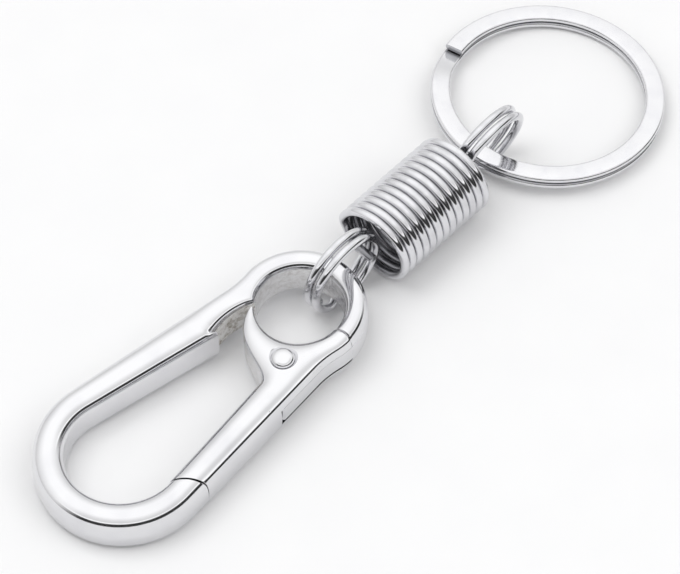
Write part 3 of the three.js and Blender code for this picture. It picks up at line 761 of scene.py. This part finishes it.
# Gate: one band from the tip seam to the hook's end, and the horn as a second band from the same root line
def buildGate():
    armSteps, rootSteps, underSteps, hornSteps = 40, len(bandShares) - 1, 30, 96
    waistSteps = underSteps // 2
    gateTip = gateStart + gateRun * tipSlip
    abreast = outerStart + outerRun * armLength
    waistStart = flipped(outer["waistStart"])
    hornRoot = polar(eyeAt, eyeInnerR, gs["hornRoot"])
    innerSide = joined(
        line(gateTip, neck, armSteps),
        neck + (hornRoot - neck) * bandShares[:, None],
        arc(eyeAt, eyeInnerR, gs["hornRoot"], seamAngle, underSteps),
    )
    outerSide = joined(
        line(tipOuter + outerRun * tipSlip, abreast, armSteps),
        abreast + (waistStart - abreast) * bandShares[:, None],
        flipped(arc(outer["blendAt"], hs["waistR"], *outer["waistAngles"], waistSteps)[::-1]),
        arc(eyeAt, hs["eyeOuterR"], -outer["eyeAngle"], seamAngle, underSteps - waistSteps),
    )
    arm = crownedBand(innerSide, outerSide, gs["edgeRound"], hs["belly"])
    eyeSide = arc(eyeAt, eyeInnerR, gs["hornRoot"], gs["hornTip"] - fullTurn, hornSteps)
    horn = crownedBand(neckPoints(0, 1, hornSteps), eyeSide, gs["edgeRound"])
    grid = np.concatenate([arm, horn])
    # it missed part of the neck as well, more of it farther from the arm
    toNeck = runDistance(grid[..., :2], neckPoints(gs["neckCastFrom"], 1, neckSteps))
    castStart, castFull = (neck[0] + run for run in gs["neckCastRun"])
    onNeck = 1 - ease(toNeck, 0.0, chromeFinish["castReach"])
    cast = gs["neckCast"] * onNeck * ease(grid[..., 0], castStart, castFull)
    # the arm's wall along the root line and the horn's first end are left open, so that the two weld into
    # one skin; points that no face uses are left out
    rows, columns = arm.shape[:2]
    quads = gridQuads(rows, columns).reshape(rows - 1, columns, 4)
    kept = np.ones(quads.shape[:2], bool)
    kept[armSteps : armSteps + rootSteps, columns - len(wallShares) - 1 :] = False
    ends = np.arange(columns) + columns * np.array([[0], [rows - 1], [len(grid) - 1]])
    hornQuads = gridQuads(len(horn), columns) + rows * columns
    runs = [quads[kept], ends[:2], hornQuads, ends[2:]]
    used = np.zeros(len(grid) * columns, bool)
    used[np.concatenate([run.ravel() for run in runs])] = True
    number = np.cumsum(used) - 1
    faces = sum((number[run].tolist() for run in runs), [])
    points = onHook(grid).reshape(-1, 3)[used]
    gate = makePiece("gateArm", points, faces, {"asCast": cast.ravel()[used]}, weld=True)
    # the slot's edge lies past the tongue's by the gate's opening and what is spare before the stop
    web = hg["bossEdge"] + hg["opening"] + hg["stop"]
    legTip = polar(loopAt, ss["coilR"], ss["exit"]) + exitRun * ss["gateLeg"]
    legSide = ss["wire"] / 2 + ss["clearance"]
    near, far, above = -ss["coilR"] / 2 - legSide, legTip[0] + 2 * legSide, legTip[1] + legSide
    legSlot = besidePivot([[near, 0], [far, 0], [far, above], [near, above]])
    recess = hg["headR"] + hg["headRim"]
    flare, depth = recess + 2 * hg["dishRim"], hg["dishDepth"]
    combine(
        gate, "DIFFERENCE",
        plate("tongueSlot", tonguePlan(hg["slotClearance"], web), slotLow, slotHigh),
        plate("legSlot", legSlot, springTop - legSide, slotHigh),
        disc("rivetBore", pivot, hg["holeR"], -past, past),
        disc("upperSeat", pivot, recess, upperSeat, past),
        disc("lowerSeat", pivot, recess, -past, lowerSeat),
        dish("upperDish", pivot, recess, flare, pivotTop - depth, pivotTop + depth),
        dish("lowerDish", pivot, flare, recess, pivotLow - depth, pivotLow + depth),
    )
    return gate


# Rivet turned about its axis: shank, a flat under each head, and a head that rises as a quarter ellipse,
# made fuller by the power of its cosine
def buildRivet(sides=72, domeSteps=15):
    middle, rise = (pivotTop + pivotLow) / 2, (pivotTop - pivotLow) / 2
    under = rise - hg["headSeatDepth"] + hg["headSeatGap"]
    shoulder, crest = rise - hg["dishDepth"], rise + hg["headRise"]
    headR, bevel = hg["headR"], hg["headBevel"]
    turn = np.linspace(0, np.pi / 2, domeSteps + 1)[:-1]
    dome = [headR * np.cos(turn) ** hg["headFullness"], shoulder + (crest - shoulder) * np.sin(turn)]
    shank = [[hg["shankR"], 0], [hg["shankR"], under], [headR - bevel, under], [headR, under + bevel]]
    half = np.concatenate([shank, np.stack(dome, -1)])
    profile = np.concatenate([half[:0:-1] * (1, -1), half]) + (0, middle)
    around = np.linspace(0, fullTurn, sides, endpoint=False)
    rings = np.stack([
        pivot[0] + profile[:, :1] * np.cos(around),
        pivot[1] + profile[:, :1] * np.sin(around),
        np.repeat(profile[:, 1:], sides, 1),
    ], -1)
    points = np.concatenate([rings.reshape(-1, 3), [[*pivot, middle - crest], [*pivot, middle + crest]]])
    count = len(profile) * sides
    rim = np.arange(sides)
    after = (rim + 1) % sides
    low = np.stack([np.full(sides, count), after, rim], -1)
    high = np.stack([np.full(sides, count + 1), count - sides + rim, count - sides + after], -1)
    faces = gridQuads(len(profile), sides).tolist() + low.tolist() + high.tolist()
    return makePiece("pivotRivet", onHook(points), faces)


dress(buildHookFrame(), chrome, "hook", "hook_frame")
dress(buildGate(), chrome, "gate", "gate")
dress(buildRivet(), chrome, "hook", "pivot_rivet")


# Profile carried along a path: its first axis is the reference less its share along the path, the second
# is square to both; towards each end the profile shrinks by a quarter round, so that the ends are rounded
def sweep(path, reference, section, endRound, endSteps=5):
    tangent = unit(np.gradient(path, axis=0))
    turn = np.linspace(0, np.pi / 2, endSteps)[:, None]
    half = np.abs(section).max()
    headIn = path[0] + tangent[0] * endRound * (1 - np.cos(turn))
    tailIn = path[-1] - tangent[-1] * endRound * (1 - np.cos(turn[::-1]))
    shrink = 1 - endRound / half * (1 - np.sin(turn[:, 0]))
    full = np.concatenate([headIn, path[1:-1], tailIn])
    growth = np.concatenate([shrink, np.ones(len(path) - 2), shrink[::-1]])
    ahead = np.pad(tangent[1:-1], ((endSteps, endSteps), (0, 0)))
    ahead[:endSteps], ahead[-endSteps:] = tangent[0], tangent[-1]
    side = unit(reference - (ahead @ reference)[:, None] * ahead)
    up = np.cross(ahead, side)
    grown = section[None] * growth[:, None, None]
    grid = full[:, None] + grown[..., :1] * side[:, None] + grown[..., 1:] * up[:, None]
    run = np.concatenate([[0], np.cumsum(np.linalg.norm(np.diff(full, axis=0), axis=1))])
    along = np.repeat(run[:, None, None], len(section), 1)
    grain = np.concatenate([along, np.repeat(section[None], len(full), 0)], -1)
    cutEnd = np.zeros(grid.shape[:2])
    cutEnd[[0, -1]] = 1
    return grid, {"wireGrain": grain.reshape(-1, 3), "cutEnd": cutEnd.ravel()}


def roundSection(sizes):
    return circle((0, 0), sizes["wire"] / 2, sizes["sides"])


# Drops points until the lowest is on the table
def standing(points):
    return points - (0, 0, points[..., 2].min())


# Torsion spring: a leg along the tongue, a helix round the rivet that turns backwards and rises, and a leg
# straight off its last turn into the gate
def buildGateSpring(coilSteps=120, frameLegSteps=12, gateLegSteps=10):
    turn = np.linspace(0, 1, coilSteps)
    coil = np.concatenate([
        polar(loopAt, ss["coilR"], -np.pi / 2 - turn * springSweep),
        (springBase + (springTop - springBase) * turn)[:, None],
    ], 1)
    frameLeg = np.array([[ss["frameLeg"], -ss["coilR"], springBase]])
    leg = frameLeg + (coil[0] - frameLeg) * np.linspace(0, 1, frameLegSteps)[:-1, None]
    tail = coil[-1] + np.append(exitRun, 0) * ss["gateLeg"] * np.linspace(0, 1, gateLegSteps)[1:, None]
    path = np.concatenate([leg, coil, tail])
    path = np.concatenate([besidePivot(path[:, :2]), path[:, 2:]], 1)
    grid, marks = sweep(path, np.array([0, 0, 1.0]), roundSection(ss), ss["endRound"])
    return makePiece("gateSpring", onHook(grid), bandFaces(grid), marks)


windStart, windEnd = (
    (onHook(np.array([*pivot, level])) * mm).tolist()
    for level in (springBase + ss["wire"] / 2, springTop - ss["wire"] / 2)
)
gateWinds = ("gate", windStart, windEnd)
dress(buildGateSpring(), springSteel, "hook", "gate_spring", winds=gateWinds)

# Link rings: round wire wound twice, standing in the chain's plane and leaning a little
linkSizes = {
    "r": 5.35,
    "wire": 1.1,
    "turnSpacing": 1.32,
    "jogHalf": np.radians(20),
    "jogAngle": np.radians(-100),
    "endGap": np.radians(4),
    "endRound": 0.12,
    "sides": 36,
    "steps": 420,
}
lowerLink = {"centre": (-4.055, -1.5), "lean": np.radians(4)}
upperLink = {"centre": (22.433, -1.5), "lean": np.radians(12)}


# Angles along a ring wound twice, from one cut end to the other
def twoTurns(sizes):
    start = sizes["jogAngle"] + sizes["jogHalf"] + sizes["endGap"]
    end = sizes["jogAngle"] + 2 * fullTurn - sizes["jogHalf"] - sizes["endGap"]
    return np.linspace(start, end, sizes["steps"])


# Across a ring wound twice: one turn's place, easing to the other's where the wire crosses over
def crossOver(turn, sizes, spacing):
    jog = sizes["jogAngle"] + fullTurn
    return spacing * (ease(turn, jog - sizes["jogHalf"], jog + sizes["jogHalf"]) - 0.5)


# Turned about the x axis
def leaned(points, lean):
    c, s = np.cos(lean), np.sin(lean)
    return points @ np.array([[1, 0, 0], [0, c, s], [0, -s, c]])


def buildLinkRing(name, link):
    ls = linkSizes
    turn = twoTurns(ls)
    across = crossOver(turn, ls, ls["turnSpacing"])
    path = np.stack([ls["r"] * np.cos(turn), across, ls["r"] * np.sin(turn)], -1)
    grid, marks = sweep(path, np.array([0, 1.0, 0]), roundSection(ls), ls["endRound"])
    grid = standing(leaned(grid, link["lean"])) + (*link["centre"], 0)
    return makePiece(name, grid, bandFaces(grid), marks)


dress(buildLinkRing("lowerLinkRing", lowerLink), nickelWire, "lower_link", "lower_link_ring")
dress(buildLinkRing("upperLinkRing", upperLink), nickelWire, "upper_link", "upper_link_ring")

# Close-wound coil with a crossbar at each end
coilSizes = {
    "r": 5.0,
    "wire": 1.12,
    "pitch": 1.22,
    "halfTurns": 13,
    "bendR": 1.3,
    "standOff": 1.394,
    "barFlat": 1.3,
    "barEndGap": 2.3,
    "endRound": 0.12,
    "sides": 28,
    "paintedShade": (0.15, 0.7),  # how far round to the inside the painted shade begins, and where it is full
}


# Half of the wire: a bar across the bore that stands off the end turn, a bend that eases down to it, and
# half of the helix; turned half round about the y axis, the same half makes the other end
def buildCoil(barSteps=40, bendSteps=24, helixSteps=560):
    cs = coilSizes
    bendAngle = np.arcsin(cs["bendR"] / (cs["r"] - cs["bendR"]))
    middle = cs["halfTurns"] * np.pi
    start = cs["pitch"] * (bendAngle - middle) / fullTurn
    bendAt = polar(loopAt, cs["r"] - cs["bendR"], bendAngle)
    freeEnd = np.array([cs["wire"] + cs["barEndGap"] - cs["r"], 0])
    crossing = joined(
        line(freeEnd, np.array([bendAt[0], 0]), barSteps),
        arc(bendAt, cs["bendR"], -np.pi / 2, bendAngle, bendSteps),
    )
    settled = ease(crossing[:, 0], cs["barFlat"], crossing[-1, 0])
    bar = np.concatenate([(start - cs["standOff"] * (1 - settled))[:, None], crossing], 1)
    turn = np.linspace(bendAngle, middle, helixSteps)
    lead = cs["pitch"] * (turn - middle) / fullTurn
    half = joined(bar, np.concatenate([lead[:, None], polar(loopAt, cs["r"], turn)], 1))
    path = joined(half, (half * (-1, 1, -1))[::-1])
    section = roundSection(cs)
    grid, marks = sweep(path, np.array([1.0, 0, 0]), section, cs["endRound"])
    # painted shade on the side of the wire that faces into the coil, where the turns shade one another
    # the profile's second axis points away from the coil's own axis
    marks["paintedShade"] = np.tile(ease(-2 * section[:, 1] / cs["wire"], *cs["paintedShade"]), len(grid))
    ends = np.array([joints[name]["pos_m"] for name in ("coil_swing", "upper_link_swing")]) / mm
    grid = standing(grid) + (*ends.mean(0)[:2], 0)
    return makePiece("coilSpring", grid, bandFaces(grid), marks)


dress(buildCoil(), nickelWire, "coil", "coil_spring")

# Key ring: a flat band wound twice, one layer on the other, tilted where it lies over the link ring
keySizes = {
    "outerR": 15.0,
    "band": 2.5,
    "layer": 0.87,
    "layerSpacing": 1.0,
    "jogHalf": np.radians(13),
    "jogAngle": np.radians(116),
    "endGap": np.radians(0.4),
    "edgeRound": 0.4,
    "endRound": 0.06,
    "endLift": 0.03,
    "endLiftRun": np.radians(25),
    "steps": 720,
    "crevice": (0.4, 0.95),  # how far round to the other layer the painted shade begins, and where it is full
    "lyingFlat": (0.95, 1.0),  # share of its own level from which a layer lies on the other
    "centre": (36.233, 0.0, 1.927),
    "tilt": np.arcsin(0.063636),
}


def buildKeyRing(cornerSteps=6):
    ks = keySizes
    turn = twoTurns(ks)
    lift = ks["endLift"] * ease(turn, turn[-1] - ks["endLiftRun"], turn[-1])
    level = crossOver(turn, ks, ks["layerSpacing"]) + lift
    path = np.concatenate([polar((0, 0), ks["outerR"] - ks["band"] / 2, turn), level[:, None]], 1)
    # rounded rectangle: quarter circles about the four inner corners
    high, wide, r = ks["layer"] / 2 - ks["edgeRound"], ks["band"] / 2 - ks["edgeRound"], ks["edgeRound"]
    corners = [(high, wide), (-high, wide), (-high, -wide), (high, -wide)]
    section = np.concatenate([
        arc(at, r, k * np.pi / 2, (k + 1) * np.pi / 2, cornerSteps) for k, at in enumerate(corners)
    ])
    grid, marks = sweep(path, np.array([0, 0, 1.0]), section, ks["endRound"])
    # painted shade on the side of each layer that lies on the other, in the crevice; where the band crosses
    # over it is open and unshaded
    place = np.pad(2 * level / ks["layerSpacing"], (len(grid) - len(path)) // 2, "edge")[:, None]
    inward = ease(-np.sign(place) * 2 * section[:, 0] / ks["layer"], *ks["crevice"])
    marks["paintedShade"] = (inward * ease(np.abs(place), *ks["lyingFlat"])).ravel()
    c, s = np.cos(ks["tilt"]), np.sin(ks["tilt"])
    grid = grid @ np.array([[c, 0, -s], [0, 1, 0], [s, 0, c]]) + ks["centre"]
    return makePiece("keyRing", grid, bandFaces(grid), marks)


dress(buildKeyRing(), nickelBand, "key_ring", "key_ring", sharpAngle=30)

# Camera as the photograph was taken: long lens, from the hook's side and above
cameraPlace = {
    "target": (-2.995, -0.17, 0.0),
    "azimuth": np.radians(-137.2),
    "elevation": np.radians(54.07),
    "distance": 431.8,
    "lens": 185.3,
    "sensor": 36,
}


def buildCamera():
    cp = cameraPlace
    flat = np.cos(cp["elevation"])
    back = np.array([flat * np.cos(cp["azimuth"]), flat * np.sin(cp["azimuth"]), np.sin(cp["elevation"])])
    camera = bpy.data.objects.new("camera", bpy.data.cameras.new("camera"))
    camera.data.sensor_fit = "HORIZONTAL"
    camera.data.sensor_width = cp["sensor"]
    camera.data.lens = cp["lens"]
    camera.location = Vector((np.array(cp["target"]) + back * cp["distance"]) * mm)
    camera.rotation_euler = Vector(-back).to_track_quat("-Z", "Y").to_euler()
    bpy.context.scene.collection.objects.link(camera)
    bpy.context.scene.camera = camera


# White paper sweep under the part: a faint fibre mottle, matt
floorFinish = {
    "paper": "#F6F6F6",
    "paperShade": "#F1F1F2",
    "mottle": 12.0,
    "mottleDetail": 4.0,
    "roughness": 0.9,
    "size": 3000.0,
}


def buildFloor():
    f = floorFinish
    half = f["size"] / 2
    points = np.array([[-half, -half, 0], [half, -half, 0], [half, half, 0], [-half, half, 0]])
    floor = makePiece("paperFloor", points, [[0, 1, 2, 3]])
    material, tree, shader = newMaterial("matt white paper")
    shader.inputs["Metallic"].default_value = 0.0
    shader.inputs["Roughness"].default_value = f["roughness"]
    place = addNode(tree, "ShaderNodeTexCoord").outputs["Object"]
    mottle = addNode(
        tree, "ShaderNodeTexNoise",
        {"Vector": place, "Scale": perMillimetre(f["mottle"]), "Detail": f["mottleDetail"]},
    )
    colour = addNode(
        tree, "ShaderNodeMix",
        {
            "Factor": mottle.outputs["Fac"],
            "A": linearColour(f["paper"]),
            "B": linearColour(f["paperShade"]),
        },
        data_type="RGBA",
    )
    tree.links.new(colour.outputs[2], shader.inputs["Base Color"])
    floor.data.materials.append(material)


# White light tent: bright overhead, open and dark low down on the front, grey low down at the back;
# each wall is a list of heights, as the sine of the elevation, and levels
tent = {
    "openSide": (-0.35, -0.937, 0.0),
    "openEdge": (-0.25, 0.35),
    "front": (
        (0.0, 0.04), (0.43, 0.06), (0.48, 1.5), (0.54, 1.25), (0.63, 0.88), (0.76, 0.93), (0.93, 1.3)
    ),
    "back": ((0.0, 0.76), (0.2, 0.86), (0.5, 1.1), (0.8, 1.3)),
    "light": 0.62,
}


# Mirrors see the tent's walls, the camera sees plain white, and all else gets an even soft light
def buildTent():
    white = (1, 1, 1, 1)
    world = bpy.data.worlds.new("light tent")
    bpy.context.scene.world = world
    world.use_nodes = True
    tree = world.node_tree
    tree.nodes.clear()
    direction = addNode(tree, "ShaderNodeTexCoord").outputs["Generated"]
    height = addNode(tree, "ShaderNodeSeparateXYZ", {"Vector": direction}).outputs["Z"]
    facing = addNode(
        tree, "ShaderNodeVectorMath", {0: direction, 1: tent["openSide"]}, operation="DOT_PRODUCT"
    ).outputs["Value"]
    limits = dict(zip(rangeInputs, tent["openEdge"]))
    front = addNode(
        tree, "ShaderNodeMapRange", {"Value": facing, **limits}, interpolation_type="SMOOTHSTEP"
    )
    walls = {}
    for side in ("back", "front"):
        ramp = addNode(tree, "ShaderNodeValToRGB", {"Fac": height})
        elements = ramp.color_ramp.elements
        while len(elements) < len(tent[side]):
            elements.new(0.5)
        for element, (at, level) in zip(elements, tent[side]):
            element.position = at
            element.color = (level, level, level, 1)
        walls[side] = ramp.outputs["Color"]
    mirrored = addNode(
        tree, "ShaderNodeMix",
        {"Factor": front.outputs[0], "A": walls["back"], "B": walls["front"]},
        data_type="RGBA",
    )
    path = addNode(tree, "ShaderNodeLightPath")
    soft = addNode(tree, "ShaderNodeBackground", {"Color": white, "Strength": tent["light"]})
    mirror = addNode(tree, "ShaderNodeBackground", {"Color": mirrored.outputs[2], "Strength": 1.0})
    plain = addNode(tree, "ShaderNodeBackground", {"Color": white, "Strength": 1.0})
    glossy = addNode(
        tree, "ShaderNodeMixShader",
        {0: path.outputs["Is Glossy Ray"], 1: soft.outputs[0], 2: mirror.outputs[0]},
    )
    seen = addNode(
        tree, "ShaderNodeMixShader",
        {0: path.outputs["Is Camera Ray"], 1: glossy.outputs[0], 2: plain.outputs[0]},
    )
    addNode(tree, "ShaderNodeOutputWorld", {"Surface": seen.outputs[0]})


# Soft boxes: place in millimetres from the camera's target, size and power
lamps = {
    "key": {"place": (-110, 190, 600), "size": 420, "power": 1.45},
    "fill": {"place": (120, -280, 480), "size": 420, "power": 0.8},
}


def buildLamps():
    target = Vector(np.array(cameraPlace["target"]) * mm)
    for name, lamp in lamps.items():
        data = bpy.data.lights.new(name, "AREA")
        data.size = lamp["size"] * mm
        data.energy = lamp["power"]
        box = bpy.data.objects.new(name, data)
        box.location = target + Vector(np.array(lamp["place"]) * mm)
        box.rotation_euler = (target - box.location).to_track_quat("-Z", "Y").to_euler()
        box.visible_glossy = False
        bpy.context.scene.collection.objects.link(box)


buildCamera()
buildFloor()
buildTent()
buildLamps()
bpy.context.scene.view_settings.view_transform = "Standard"
print("stage made")
